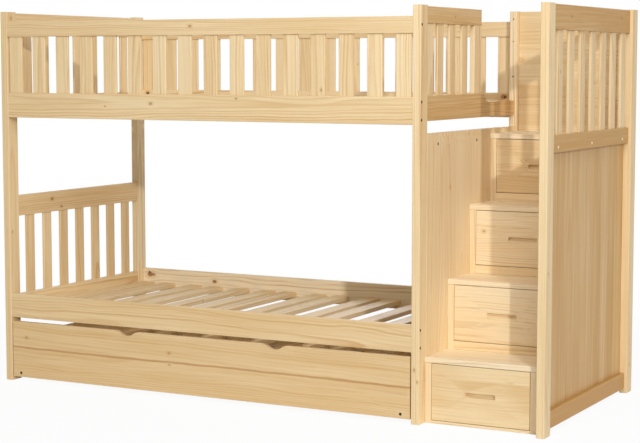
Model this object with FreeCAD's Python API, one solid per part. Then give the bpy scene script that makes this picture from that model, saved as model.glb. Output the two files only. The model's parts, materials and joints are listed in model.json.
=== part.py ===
import FreeCAD, Part
import math
import os

os.makedirs("parts", exist_ok=True)

# Bunk bed in solid pine for two twin mattresses, with a rolling trundle below and a storage
# staircase at the foot end. Millimetres, +X along the bed towards the stairs, -Y is the front,
# +Z up. All sizes are measured from the outer left, front corner at the floor. The finished
# pieces are moved so that the origin lies on the floor, under the middle of the whole object.

# ---- driving sizes: posts and outline ----
post_height = 1636.0        # all six posts, floor to top
post_width = 34.0           # post, along the bed
post_depth = 66.0           # post, across the bed
bed_length = 2032.0         # outside of the head posts to outside of the foot posts
bed_width = 1067.0          # front faces to back faces of the posts
stair_width = 520.0         # from the foot posts to the outside of the stair posts
edge_ease = 1.5             # flat eased edge along every board
fit_gap = 0.3               # clearance round pins, plugs, nuts and runners

# ---- driving sizes: boards of the bed ----
rail_thickness = 22.0
side_rail_height = 108.0    # long rails that carry the slats
side_rail_recess = 1.5      # long rails, back from the post faces
lower_side_rail_z = 285.0   # underside of the lower long rails
upper_side_rail_z = 1174.0  # underside of the upper long rails
guard_rail_height = 66.0
guard_rail_drop = 43.0      # post top to the top of the guard rail
slat_thickness = 11.0       # upright slats
guard_slat_width = 66.0
guard_slat_pitch = 125.4    # centre to centre
slat_clearance = 5.0        # least gap from the last upright slat to a post
end_rail_recess = 9.0       # end rails, back from the outer faces of the posts
head_slat_width = 58.0
head_slat_pitch = 125.0
head_top_rail_height = 92.0
head_top_rail_drop = 4.5    # post top to the top of the upper headboard
end_rail_lift = 2.0         # lowest rail of an end, above the underside of the side rails
end_rail_height = 94.0
lower_headboard_height = 537.5  # top of the lower headboard, above its lower rail's underside

# ---- driving sizes: guard and entry at the foot end of the upper bunk ----
entry_rail_lift = 13.0      # above the underside of the side rails
entry_rail_height = 100.0
foot_guard_rail_height = 66.0
foot_guard_rail_drop = 3.0
foot_guard_slat_width = 57.0
foot_guard_slat_places = (24.0, 126.0, 242.0, 367.0)  # from the front post, uneven
foot_guard_stile_place = 485.0
foot_guard_stile_width = 73.0
entry_cut = 37.0            # how far the end rail is lowered at the entry
entry_slope = 35.0          # length of the slope down to the entry
entry_slope_offset = 30.0   # from the guard's stile to the slope
entry_round = 14.0          # rounding at both ends of the slope

# ---- driving sizes: slats that carry the mattresses ----
bed_slat_width = 70.0
bed_slat_thickness = 20.0
bed_slat_pitch = 138.0
bed_slat_shifts = (0, -20, 0, -18, -6, 2, -24, 2, -22, 2, -26, 6, 12, 16)  # laid by hand, uneven
bed_slat_drop = 66.0        # top of the side rail to the top of the slats
slat_start_gap = 2.0        # first slat, from the head posts
slat_end_gap = 1.0          # slat ends, from the side rails
ledger_width = 22.0
ledger_height = 20.0

# ---- driving sizes: bolts ----
bolt_radius = 3.0
bolt_head_radius = 6.0
bolt_head_thickness = 3.0
bolt_head_sink = 0.4        # head below the face of the wood
bolt_reach = 46.0           # shank length inside a rail's end
bolt_edge_height = 19.0     # bolts of a side rail, from the rail's edges
nut_radius = 5.0
nut_length = 15.0
nut_back = 38.0             # nut, from the rail's end
panel_bolt_length = 30.0
panel_bolt_first = 104.0    # from the front post to the first bolt of the stair's left panel
panel_bolt_pitch = 392.0
panel_bolt_lift = 20.0      # above the underside of the rail behind
spare_hole_radius = 3.5     # small drilled holes on the front of the back foot post
spare_hole_depth = 10.0
spare_hole_drops = (33.0, 130.0, 282.0)

# ---- driving sizes: staircase ----
step_count = 4
step_front = 56.0           # front of the lowest step, back from the post faces
step_run = 218.0
tread_thickness = 22.0
base_strip_height = 12.0    # strip under the lowest drawer
riser_rail_height = 34.5    # rail under each of the other drawers
stile_width = 27.0
frame_thickness = 20.0      # stiles and rails round the drawers
panel_thickness = 18.0
panel_lift = 20.0           # side and back panels, above the floor
panel_above_tread = 20.5    # side panels, above the top tread
panel_head_gap = 50.0       # left panel to the entry's rail
cross_rail_height = 62.0
stair_back_inset = 20.0     # back panel, in from the back of the posts
back_panel_drop = 1.0       # post top to the top of the back panel
outer_rail_recess = 12.0    # rails of the outer end, back from the outer faces
outer_top_rail_height = 96.5
outer_top_rail_drop = 2.0
outer_mid_rail_height = 66.5
outer_slat_width = 58.0
outer_slat_start = 77.0     # from the front post to the first slat
outer_slat_pitch = 127.0
outer_base_rail_height = 68.0
plug_radius = 6.0
plug_depth = 6.0
plug_proud = 1.0
plug_inset = 80.0
plug_count = 3

# ---- driving sizes: stair drawers ----
drawer_gap = 2.0            # round each drawer front
drawer_front_thickness = 20.0
finger_slot_width = 125.0
finger_slot_height = 18.0
finger_slot_depth = 12.0
finger_slot_round = 5.0
box_side_gap = 2.5          # box, in from the drawer opening
box_wall = 12.0
box_floor_thickness = 6.0
box_floor_lift = 6.0
box_lift = 16.0             # box, above the lower edge of its front
box_top_drop = 48.0         # box, below the upper edge of its front
drawer_back_space = 29.0    # behind the top drawer, up to the back panel
runner_height = 16.0
runner_depth = 6.0          # how far a runner reaches into the groove of a box side

# ---- driving sizes: trundle ----
trundle_side_gap = 6.0      # front board to the posts
trundle_floor_gap = 18.0
trundle_top_gap = 18.0      # front board to the lower side rail
trundle_front_recess = 2.0
trundle_front_thickness = 20.0
trundle_board = 16.0        # back and end boards
trundle_end_set = 5.0       # end boards, in from the ends of the front board
trundle_back_gap = 10.0     # back board to the faces of the back posts
trundle_box_top = 200.0
scoop_offset = 365.0        # hand scoops, from the middle of the front board
scoop_width = 130.0
scoop_depth = 21.0
corner_block_length = 30.0  # blocks behind the front board's lower corners
corner_block_lift = 4.0     # above the front board's underside
trundle_bolt_lift = 18.0    # above the front board's underside
trundle_bolt_length = 42.0
bearer_width = 40.0
bearer_height = 24.0
bearer_count = 3
trundle_slat_thickness = 15.0
trundle_ledger_height = 20.0
trundle_ledger_width = 20.0
wheel_radius = 25.0
wheel_width = 22.0
wheel_top_gap = 5.0         # wheel to the caster's plate
wheel_side_gap = 1.0
wheel_hub_radius = 9.0
wheel_rim = 7.0
wheel_web_recess = 4.0
axle_radius = 4.0
axle_clearance = 0.06
caster_plate = 3.0
caster_plate_length = 64.0
cheek_width = 28.0
cheek_below_axle = 9.0
caster_inset = 70.0         # wheel centres, in from the front and back boards

# ---- places worked out from the driving sizes ----
total_length = bed_length + stair_width
head_in = post_width
foot_out = bed_length
foot_in = foot_out - post_width
outer_in = total_length - post_width
post_in = post_depth
back_in = bed_width - post_depth
origin = FreeCAD.Vector(-total_length / 2, -bed_width / 2, 0)

front_rail_y = (side_rail_recess, side_rail_recess + rail_thickness)
back_rail_y = (bed_width - front_rail_y[1], bed_width - front_rail_y[0])
head_rail_x = (end_rail_recess, end_rail_recess + rail_thickness)
foot_rail_x = (foot_out - head_rail_x[1], foot_out - head_rail_x[0])
slat_set = (rail_thickness - slat_thickness) / 2

entry_rail_z = (upper_side_rail_z + entry_rail_lift,
                upper_side_rail_z + entry_rail_lift + entry_rail_height)
upper_end_rail_z = upper_side_rail_z + end_rail_lift
lower_end_rail_z = lower_side_rail_z + end_rail_lift
guard_rail_top = post_height - guard_rail_drop
guard_rail_z = (guard_rail_top - guard_rail_height, guard_rail_top)

panel_top = entry_rail_z[0] - panel_head_gap
top_tread_z = panel_top - panel_above_tread
stair_left = foot_out
stair_right = outer_in - panel_thickness
stair_back = bed_width - stair_back_inset - panel_thickness
all_rails = base_strip_height + (step_count - 1) * riser_rail_height
opening_height = (top_tread_z - all_rails - step_count * tread_thickness) / step_count
opening_x = (stair_left + stile_width, stair_right - stile_width)
cross_rail_x = (foot_out - panel_thickness - rail_thickness, foot_out - panel_thickness)
cross_rail_z = (panel_top - cross_rail_height, panel_top)
top_step_front = step_front + (step_count - 1) * step_run
box_depth = stair_back - top_step_front - drawer_front_thickness - drawer_back_space

trundle_x = (head_in + trundle_side_gap, foot_in - trundle_side_gap)
trundle_front_z = (trundle_floor_gap, lower_side_rail_z - trundle_top_gap)
trundle_front_y = (trundle_front_recess, trundle_front_recess + trundle_front_thickness)
trundle_back_y = back_in - trundle_back_gap
trundle_in_y = (trundle_front_y[1], trundle_back_y - trundle_board)
trundle_end_x = (trundle_x[0] + trundle_end_set, trundle_x[1] - trundle_end_set)
trundle_in_x = (trundle_end_x[0] + trundle_board, trundle_end_x[1] - trundle_board)
caster_plate_z = 2 * wheel_radius + wheel_top_gap
bearer_z = (caster_plate_z + caster_plate, caster_plate_z + caster_plate + bearer_height)


def board(x, y, z, ease=edge_ease):
    """A straight board. x, y and z are its low and high faces. The grain and the eased
    edges run along its longest side."""
    low = [x[0], y[0], z[0]]
    size = [x[1] - x[0], y[1] - y[0], z[1] - z[0]]
    along = size.index(max(size))
    side_a, side_b = [axis for axis in range(3) if axis != along]
    wide = size[side_a]
    deep = size[side_b]
    outline = [(ease, 0), (wide - ease, 0), (wide, ease), (wide, deep - ease),
               (wide - ease, deep), (ease, deep), (0, deep - ease), (0, ease)]
    points = []
    for a, b in outline:
        point = list(low)
        point[side_a] += a
        point[side_b] += b
        points.append(FreeCAD.Vector(*point))
    travel = [0, 0, 0]
    travel[along] = size[along]
    face = Part.Face(Part.makePolygon(points + points[:1]))
    return face.extrude(FreeCAD.Vector(*travel))


def rod(start, axis, length, radius):
    """A round bar from the point start, along axis."""
    return Part.makeCylinder(radius, length, FreeCAD.Vector(*start), FreeCAD.Vector(*axis))


def cut(shape, tools):
    """The shape without the tools."""
    return shape.cut(Part.makeCompound(tools)).Solids[0]


def keep(node, solids):
    """Writes one sub-part, moved to the object's own origin."""
    shape = solids[0] if len(solids) == 1 else Part.makeCompound(solids)
    shape = shape.copy()
    shape.translate(origin)
    shape.exportStep("parts/" + node + ".step")


def row(first, last, pitch):
    """Low edges of equal pieces at a fixed pitch, none of them beyond the last place."""
    return [first + n * pitch for n in range(int((last - first) / pitch) + 1)]


def spread(low, high, width, pitch):
    """Low edges of a row that is centred between two posts and keeps clear of both."""
    first = low + slat_clearance
    last = high - slat_clearance - width
    return row(first + (last - first) % pitch / 2, last, pitch)


def fill(low, high, width, pitch):
    """Low edges of equal pieces from low to high, at about the given pitch."""
    steps = int((high - low - width) / pitch)
    return [low + step * (high - low - width) / steps for step in range(steps + 1)]


# ---- bolts: their places are needed by the posts, rails and panels that they pass through ----
def side_rail_bolt_heights(z_low):
    return [z_low + bolt_edge_height, z_low + side_rail_height - bolt_edge_height]


guard_bolt_height = (guard_rail_z[0] + guard_rail_z[1]) / 2
lower_bolt_heights = side_rail_bolt_heights(lower_side_rail_z)
upper_bolt_heights = side_rail_bolt_heights(upper_side_rail_z)
post_bolt_heights = lower_bolt_heights + upper_bolt_heights + [guard_bolt_height]
rail_mid_ys = [sum(front_rail_y) / 2, sum(back_rail_y) / 2]
panel_bolt_z = cross_rail_z[0] + panel_bolt_lift
panel_bolt_ys = row(post_in + panel_bolt_first, back_in - bolt_edge_height, panel_bolt_pitch)


def bolt(face, way, length, extra=0.0):
    """A bolt whose sunk head lies at the point face of the wood; way points into the wood. With
    extra, the clearance hole round the same bolt, open at the face."""
    sink = 0.0 if extra else bolt_head_sink
    start = [place + sink * part for place, part in zip(face, way)]
    reach = bolt_head_sink - sink + extra
    head_length = bolt_head_thickness + bolt_head_sink - sink
    head = rod(start, way, head_length, bolt_head_radius + extra)
    shank = rod(start, way, length + reach, bolt_radius + extra)
    return head.fuse(shank).removeSplitter()


def rail_nut(end_x, way, y, z, inside, extra=0.0):
    """A barrel nut across a rail, near its end, or with extra its hole. The hole opens to the
    inside of the bed, but under the guard rail, whose faces are both in view."""
    opens = (0, 0, -1) if z == guard_bolt_height else (0, inside, 0)
    back = nut_length / 2 + extra
    start = (end_x + way * nut_back, y - opens[1] * back, z - opens[2] * back)
    length = nut_length + extra + (side_rail_height if extra else 0.0)
    return rod(start, opens, length, nut_radius + extra)


def rail_end_holes(y, heights, inside):
    """Holes for the bolts and their nuts in both ends of a long rail."""
    tools = []
    for end_x, way in ((head_in, 1), (foot_in, -1)):
        for z in heights:
            tools.append(rod((end_x, y, z), (way, 0, 0), bolt_reach + fit_gap, bolt_radius + fit_gap))
            tools.append(rail_nut(end_x, way, y, z, inside, fit_gap))
    return tools


def make_bolts():
    solids = []
    length = post_width + bolt_reach - bolt_head_sink
    for y, inside in zip(rail_mid_ys, (1, -1)):
        for face_x, end_x, way in ((0.0, head_in, 1), (foot_out, foot_in, -1)):
            for z in post_bolt_heights:
                shank_hole = rod((end_x, y, z), (way, 0, 0), 2 * nut_back, bolt_radius + fit_gap)
                solids.append(bolt((face_x, y, z), (way, 0, 0), length))
                solids.append(cut(rail_nut(end_x, way, y, z, inside), [shank_hole]))
    for y in panel_bolt_ys:
        solids.append(bolt((foot_out, y, panel_bolt_z), (-1, 0, 0), panel_bolt_length))
    keep("frame_bolts", solids)


# ---- posts ----
def post(x_low, front):
    y = (0.0, post_depth) if front else (back_in, bed_width)
    return board((x_low, x_low + post_width), y, (0.0, post_height))


def make_posts():
    hole_length = 2 * post_width
    for side, front in (("front", True), ("back", False)):
        y = rail_mid_ys[0] if front else rail_mid_ys[1]
        for end, x_low, face_x, way in (("left", 0.0, 0.0, 1), ("right", foot_in, foot_out, -1)):
            places = [(face_x, y, z) for z in post_bolt_heights]
            holes = [bolt(place, (way, 0, 0), hole_length, fit_gap) for place in places]
            if end == "right" and not front:
                x_mid = x_low + post_width / 2
                for drop in spare_hole_drops:
                    place = (x_mid, back_in, post_height - drop)
                    holes.append(rod(place, (0, 1, 0), spare_hole_depth, spare_hole_radius))
            keep("bed_post_" + side + "_" + end, [cut(post(x_low, front), holes)])
        keep("stair_post_" + side, [post(outer_in, front)])


# ---- long rails and the guards between the posts ----
def make_long_sides():
    rail_x = (head_in, foot_in)
    for side, y, inside in (("front", front_rail_y, 1), ("back", back_rail_y, -1)):
        y_mid = sum(y) / 2
        for level, z_low, heights in (("lower", lower_side_rail_z, lower_bolt_heights),
                                      ("upper", upper_side_rail_z, upper_bolt_heights)):
            rail = board(rail_x, y, (z_low, z_low + side_rail_height))
            keep(level + "_side_rail_" + side, [cut(rail, rail_end_holes(y_mid, heights, inside))])
        top_rail = board(rail_x, y, guard_rail_z)
        holes = rail_end_holes(y_mid, [guard_bolt_height], inside)
        keep(side + "_guard_top_rail", [cut(top_rail, holes)])
        slat_y = (y[0] + slat_set, y[1] - slat_set)
        slat_z = (upper_side_rail_z + side_rail_height, guard_rail_z[0])
        slats = []
        for x_low in spread(*rail_x, guard_slat_width, guard_slat_pitch):
            slats.append(board((x_low, x_low + guard_slat_width), slat_y, slat_z))
        keep(side + "_guard_slats", slats)


# ---- headboards ----
def end_slats(rail_x, y_lows, width, z):
    """Upright slats in the middle of an end's rails, one at each low edge."""
    slat_x = (rail_x[0] + slat_set, rail_x[1] - slat_set)
    return [board(slat_x, (y_low, y_low + width), z) for y_low in y_lows]


def make_headboard(level, rail_z, top):
    y = (post_in, back_in)
    rail_top = rail_z + end_rail_height
    top_rail_z = (top - head_top_rail_height, top)
    slat_ys = spread(*y, head_slat_width, head_slat_pitch)
    slats = end_slats(head_rail_x, slat_ys, head_slat_width, (rail_top, top_rail_z[0]))
    keep(level + "_headboard_bottom_rail", [board(head_rail_x, y, (rail_z, rail_top))])
    keep(level + "_headboard_top_rail", [board(head_rail_x, y, top_rail_z)])
    keep(level + "_headboard_slats", slats)


def make_headboards():
    make_headboard("lower", lower_end_rail_z, lower_end_rail_z + lower_headboard_height)
    make_headboard("upper", upper_end_rail_z, post_height - head_top_rail_drop)


# ---- foot end: guard beside the entry, lowered end rail, lower rail ----
def make_foot_end():
    rail_top = entry_rail_z[1]
    guard_top = post_height - foot_guard_rail_drop
    guard_bottom = guard_top - foot_guard_rail_height
    slat_z = (rail_top, guard_bottom)
    slat_ys = [post_in + place for place in foot_guard_slat_places]
    keep("foot_guard_slats", end_slats(foot_rail_x, slat_ys, foot_guard_slat_width, slat_z))
    stile_y = post_in + foot_guard_stile_place
    stile_end = stile_y + foot_guard_stile_width
    keep("foot_guard_stile", [board(foot_rail_x, (stile_y, stile_end), slat_z)])
    keep("foot_guard_top_rail", [board(foot_rail_x, (post_in, stile_end), (guard_bottom, guard_top))])

    slope_y = stile_end + entry_slope_offset
    low_top = rail_top - entry_cut
    tool_x = foot_rail_x[0] - rail_thickness
    corners = [(slope_y, rail_top), (slope_y + entry_slope, low_top), (bed_width, low_top),
               (bed_width, rail_top + entry_cut), (slope_y - entry_slope, rail_top + entry_cut),
               (slope_y - entry_slope, rail_top)]
    points = [FreeCAD.Vector(tool_x, y, z) for y, z in corners]
    face = Part.Face(Part.makePolygon(points + points[:1]))
    tool = face.extrude(FreeCAD.Vector(3 * rail_thickness, 0, 0))
    rail = cut(board(foot_rail_x, (post_in, back_in), entry_rail_z), [tool])
    bends = []
    for edge in rail.Edges:
        middle = edge.CenterOfMass
        straight = abs(edge.BoundBox.XLength - (foot_rail_x[1] - foot_rail_x[0])) < 2 * edge_ease + 1
        at_slope = min(abs(middle.y - slope_y), abs(middle.y - slope_y - entry_slope)) < 1
        if straight and at_slope and edge.BoundBox.ZLength < 1 and middle.z > low_top - 1:
            bends.append(edge)
    rail = rail.makeFillet(entry_round, bends).Solids[0]
    keep("entry_end_rail", [rail])

    low_z = (lower_end_rail_z, lower_end_rail_z + end_rail_height)
    keep("lower_foot_rail", [board(cross_rail_x, (post_in, back_in), low_z)])


# ---- slats under the mattresses ----
def make_slat_decks():
    ledgers = []
    for level, z_low in (("lower", lower_side_rail_z), ("upper", upper_side_rail_z)):
        slat_top = z_low + side_rail_height - bed_slat_drop
        slat_z = (slat_top - bed_slat_thickness, slat_top)
        ledger_z = (slat_z[0] - ledger_height, slat_z[0])
        for y in ((front_rail_y[1], front_rail_y[1] + ledger_width),
                  (back_rail_y[0] - ledger_width, back_rail_y[0])):
            ledgers.append(board((head_in, foot_in), y, ledger_z))
        slat_y = (front_rail_y[1] + slat_end_gap, back_rail_y[0] - slat_end_gap)
        first = head_in + slat_start_gap
        slats = []
        for n, even in enumerate(row(first, foot_in - bed_slat_width, bed_slat_pitch)):
            x_low = even + bed_slat_shifts[n % len(bed_slat_shifts)]
            slats.append(board((x_low, x_low + bed_slat_width), slat_y, slat_z))
        keep(level + "_bed_slats", slats)
    keep("slat_ledgers", ledgers)


# ---- outer end of the staircase ----
def make_outer_end():
    rail_out = total_length - outer_rail_recess
    rail_x = (rail_out - rail_thickness, rail_out)
    y = (post_in, back_in)
    top = post_height - outer_top_rail_drop
    top_z = (top - outer_top_rail_height, top)
    mid_z = (cross_rail_z[0], cross_rail_z[0] + outer_mid_rail_height)
    keep("stair_end_top_rail", [board(rail_x, y, top_z)])
    last = back_in - slat_clearance - outer_slat_width
    slat_ys = row(post_in + outer_slat_start, last, outer_slat_pitch)
    keep("stair_end_slats", end_slats(rail_x, slat_ys, outer_slat_width, (mid_z[1], top_z[0])))
    keep("stair_end_base_rail", [board(rail_x, y, (panel_lift, panel_lift + outer_base_rail_height))])

    plugs = []
    holes = []
    pitch = (back_in - post_in - 2 * plug_inset) / (plug_count - 1)
    for n in range(plug_count):
        start = (rail_out - plug_depth, post_in + plug_inset + n * pitch, panel_bolt_z)
        plugs.append(rod(start, (1, 0, 0), plug_depth + plug_proud, plug_radius))
        holes.append(rod(start, (1, 0, 0), 2 * plug_depth, plug_radius + fit_gap))
    keep("stair_end_mid_rail", [cut(board(rail_x, y, mid_z), holes)])
    keep("stair_end_plugs", plugs)


# ---- panels round the staircase ----
def make_stair_panels():
    side_z = (panel_lift, panel_top)
    side_y = (post_in, back_in)
    places = [(foot_out, y, panel_bolt_z) for y in panel_bolt_ys]
    bolt_holes = [bolt(place, (-1, 0, 0), panel_bolt_length, fit_gap) for place in places]
    left = board((cross_rail_x[1], foot_out), side_y, side_z)
    keep("stair_panel_left", [cut(left, bolt_holes)])
    keep("stair_cross_rail", [cut(board(cross_rail_x, side_y, cross_rail_z), bolt_holes)])
    keep("stair_panel_right", [board((stair_right, outer_in), (post_in, stair_back), side_z)])
    back_y = (stair_back, stair_back + panel_thickness)
    back_x = (foot_out, outer_in)
    low_z = (panel_lift, top_tread_z - tread_thickness)
    high_z = (top_tread_z, post_height - back_panel_drop)
    keep("stair_back_panel_lower", [board(back_x, back_y, low_z)])
    keep("stair_back_panel_upper", [board(back_x, back_y, high_z)])


# ---- steps ----
def step_front_y(n):
    return step_front + n * step_run


def opening_z(n):
    """Low and high edge of the drawer opening of step n, counted from 0."""
    rise = opening_height + tread_thickness + riser_rail_height
    low = base_strip_height + n * rise
    return (low, low + opening_height)


def make_steps():
    treads = []
    frames = []
    for n in range(step_count):
        front = step_front_y(n)
        low, high = opening_z(n)
        last = n == step_count - 1
        back = stair_back + panel_thickness if last else step_front_y(n + 1) + frame_thickness
        treads.append(board((stair_left, stair_right), (front, back), (high, high + tread_thickness)))
        frame_y = (front, front + frame_thickness)
        rail_height = base_strip_height if n == 0 else riser_rail_height
        foot = low - rail_height
        frames.append(board((stair_left, opening_x[0]), frame_y, (foot, high)))
        frames.append(board((opening_x[1], stair_right), frame_y, (foot, high)))
        frames.append(board(opening_x, frame_y, (foot, low)))
    keep("stair_treads", treads)
    keep("stair_drawer_frames", frames)


# ---- stair drawers ----
box_x = (opening_x[0] + box_side_gap, opening_x[1] - box_side_gap)


def box_z(n):
    low, high = opening_z(n)
    return (low + drawer_gap + box_lift, high - drawer_gap - box_top_drop)


def finger_slot(y, z_low):
    """The shallow rounded pocket in a drawer front that fingers hold."""
    x_mid = sum(opening_x) / 2
    corner = FreeCAD.Vector(x_mid - finger_slot_width / 2, y - finger_slot_depth, z_low)
    pocket = Part.makeBox(finger_slot_width, 2 * finger_slot_depth, finger_slot_height, corner)
    ends = [edge for edge in pocket.Edges if edge.BoundBox.YLength > finger_slot_depth]
    return pocket.makeFillet(finger_slot_round, ends)


def make_drawers():
    for n in range(step_count):
        front = step_front_y(n)
        low, high = opening_z(n)
        front_x = (opening_x[0] + drawer_gap, opening_x[1] - drawer_gap)
        front_y = (front, front + drawer_front_thickness)
        face = board(front_x, front_y, (low + drawer_gap, high - drawer_gap))
        slot = finger_slot(front, (low + high - finger_slot_height) / 2)
        keep("drawer_" + str(n + 1) + "_front", [cut(face, [slot])])

        wall_y = (front_y[1], front_y[1] + box_depth)
        wall_z = box_z(n)
        groove_height = runner_height + 2 * fit_gap
        groove_z = (sum(wall_z) - groove_height) / 2
        walls = []
        for x_low, groove_x in ((box_x[0], box_x[0] - box_wall),
                                (box_x[1] - box_wall, box_x[1] - runner_depth - fit_gap)):
            wall = board((x_low, x_low + box_wall), wall_y, wall_z)
            groove_width = box_wall + runner_depth + fit_gap
            corner = FreeCAD.Vector(groove_x, wall_y[0] - box_wall, groove_z)
            groove = Part.makeBox(groove_width, box_depth + 2 * box_wall, groove_height, corner)
            walls.append(cut(wall, [groove]))
        in_x = (box_x[0] + box_wall, box_x[1] - box_wall)
        floor_z = wall_z[0] + box_floor_lift
        walls.append(board(in_x, (wall_y[1] - box_wall, wall_y[1]), wall_z))
        walls.append(board(in_x, (wall_y[0], wall_y[1] - box_wall),
                           (floor_z, floor_z + box_floor_thickness), ease=edge_ease / 3))
        keep("drawer_" + str(n + 1) + "_box", walls)


def make_runners():
    runners = []
    for n in range(step_count):
        start = step_front_y(n) + frame_thickness
        z_mid = sum(box_z(n)) / 2
        z = (z_mid - runner_height / 2, z_mid + runner_height / 2)
        y = (start, start + box_depth)
        runners.append(board((stair_left, box_x[0] + runner_depth), y, z))
        runners.append(board((box_x[1] - runner_depth, stair_right), y, z))
    keep("drawer_runners", runners)


# ---- trundle ----
def hand_scoop(x_mid):
    """The hollow for a hand in the front board's top edge: an arc between two arcs that bend the
    other way, all of one radius, so that the edge runs into it smoothly."""
    top = trundle_front_z[1]
    half = scoop_width / 2
    radius = (half ** 2 + scoop_depth ** 2) / (4 * scoop_depth)
    eighth = math.asin(half / 2 / radius) / 2
    over_x = radius * math.sin(eighth)
    over_z = radius * (1 - math.cos(eighth))

    def place(across, down):
        return FreeCAD.Vector(x_mid + across, -trundle_front_thickness, top - down)

    left = Part.Arc(place(-half, 0), place(over_x - half, over_z), place(-half / 2, scoop_depth / 2))
    dip = Part.Arc(place(-half / 2, scoop_depth / 2), place(0, scoop_depth),
                   place(half / 2, scoop_depth / 2))
    right = Part.Arc(place(half / 2, scoop_depth / 2), place(half - over_x, over_z), place(half, 0))
    lid = Part.makePolygon([place(half, 0), place(half, -scoop_depth), place(-half, -scoop_depth),
                            place(-half, 0)])
    wire = Part.Wire([left.toShape(), dip.toShape(), right.toShape()] + lid.Edges)
    return Part.Face(wire).extrude(FreeCAD.Vector(0, 3 * trundle_front_thickness, 0))


def trundle_bolt_places():
    z = trundle_front_z[0] + trundle_bolt_lift
    lows = bearer_lows()
    return [(x_low + bearer_width / 2, trundle_front_y[0], z) for x_low in (lows[0], lows[-1])]


def make_trundle_front():
    face = board(trundle_x, trundle_front_y, trundle_front_z)
    x_mid = sum(trundle_x) / 2
    scoops = [hand_scoop(x_mid + side * scoop_offset) for side in (-1, 1)]
    places = trundle_bolt_places()
    holes = [bolt(place, (0, 1, 0), trundle_bolt_length, fit_gap) for place in places]
    keep("trundle_front", [cut(face, scoops + holes)])
    keep("trundle_bolts", [bolt(place, (0, 1, 0), trundle_bolt_length) for place in places])
    blocks = []
    for x_mid, y, z in places:
        block = board((x_mid - bearer_width / 2, x_mid + bearer_width / 2),
                      (trundle_front_y[1], trundle_front_y[1] + corner_block_length),
                      (trundle_front_z[0] + corner_block_lift, bearer_z[0]))
        blocks.append(cut(block, holes))
    keep("trundle_corner_blocks", blocks)


def bearer_lows():
    span = trundle_in_x[1] - trundle_in_x[0] - bearer_width
    return [trundle_in_x[0] + n * span / (bearer_count - 1) for n in range(bearer_count)]


def make_trundle_box():
    z = (bearer_z[0], trundle_box_top)
    end_y = (trundle_front_y[1], trundle_in_y[1])
    walls = [board((trundle_end_x[0], trundle_in_x[0]), end_y, z),
             board((trundle_in_x[1], trundle_end_x[1]), end_y, z),
             board(trundle_end_x, (trundle_in_y[1], trundle_back_y), z)]
    keep("trundle_box", walls)

    bars = [board((x_low, x_low + bearer_width), trundle_in_y, bearer_z) for x_low in bearer_lows()]
    ledger_z = (bearer_z[1] - trundle_ledger_height, bearer_z[1])
    for x_low, x_next in zip(bearer_lows(), bearer_lows()[1:]):
        for y_low in (trundle_in_y[0], trundle_in_y[1] - trundle_ledger_width):
            bars.append(board((x_low + bearer_width, x_next), (y_low, y_low + trundle_ledger_width),
                              ledger_z))
    keep("trundle_bearers", bars)

    slats = []
    slat_y = (trundle_in_y[0] + slat_end_gap, trundle_in_y[1] - slat_end_gap)
    slat_low = trundle_in_x[0] + slat_start_gap
    slat_high = trundle_in_x[1] - slat_start_gap
    for x_low in fill(slat_low, slat_high, bed_slat_width, bed_slat_pitch):
        slats.append(board((x_low, x_low + bed_slat_width), slat_y,
                           (bearer_z[1], bearer_z[1] + trundle_slat_thickness)))
    keep("trundle_slats", slats)


def wheel(x_mid, y):
    """A solid wheel turned about X: hub, thinner web and rim, with a bore for the axle."""
    bore = axle_radius + axle_clearance
    half = wheel_width / 2
    web = half - wheel_web_recess
    rim_in = wheel_radius - wheel_rim
    ease = 2 * edge_ease
    profile = [(bore, -half), (wheel_hub_radius, -half), (wheel_hub_radius + ease, -web),
               (rim_in - ease, -web), (rim_in, -half), (wheel_radius - ease, -half),
               (wheel_radius, ease - half), (wheel_radius, half - ease), (wheel_radius - ease, half),
               (rim_in, half), (rim_in - ease, web), (wheel_hub_radius + ease, web),
               (wheel_hub_radius, half), (bore, half)]
    points = [FreeCAD.Vector(x_mid + along, y, wheel_radius + out) for out, along in profile]
    face = Part.Face(Part.makePolygon(points + points[:1]))
    centre = FreeCAD.Vector(x_mid, y, wheel_radius)
    return face.revolve(centre, FreeCAD.Vector(1, 0, 0), 360)


def make_casters():
    brackets = []
    axles = []
    inner = wheel_width / 2 + wheel_side_gap
    cheek_z = (wheel_radius - cheek_below_axle, caster_plate_z)
    rows = (("front", trundle_in_y[0] + caster_inset), ("back", trundle_in_y[1] - caster_inset))
    for row, y in rows:
        wheels = []
        for x_low in bearer_lows():
            x_mid = x_low + bearer_width / 2
            half_plate = caster_plate_length / 2
            brackets.append(board((x_low, x_low + bearer_width), (y - half_plate, y + half_plate),
                                  (caster_plate_z, caster_plate_z + caster_plate), ease=edge_ease / 3))
            cheek_y = (y - cheek_width / 2, y + cheek_width / 2)
            for x_cheek in (x_mid - inner - caster_plate, x_mid + inner):
                brackets.append(board((x_cheek, x_cheek + caster_plate), cheek_y, cheek_z,
                                      ease=edge_ease / 3))
            axles.append(rod((x_mid - inner, y, wheel_radius), (1, 0, 0), 2 * inner, axle_radius))
            wheels.append(wheel(x_mid, y))
        keep("trundle_wheels_" + row, wheels)
    keep("caster_brackets", brackets)
    keep("caster_axles", axles)


make_posts()
make_long_sides()
make_headboards()
make_foot_end()
make_slat_decks()
make_outer_end()
make_stair_panels()
make_steps()
make_drawers()
make_runners()
make_trundle_front()
make_trundle_box()
make_casters()
make_bolts()
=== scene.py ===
# %% [markdown]
# # A pine bunk bed with storage stairs
# The bed's boards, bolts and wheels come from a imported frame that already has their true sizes.
# This lesson gives them the look of lacquered pine: every board gets its own piece of a log, with
# growth rings, knots and rounded edges, and the bolts get their sockets. Lengths are in metres.

# %% Load the frame
import json
import math
from types import SimpleNamespace

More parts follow.
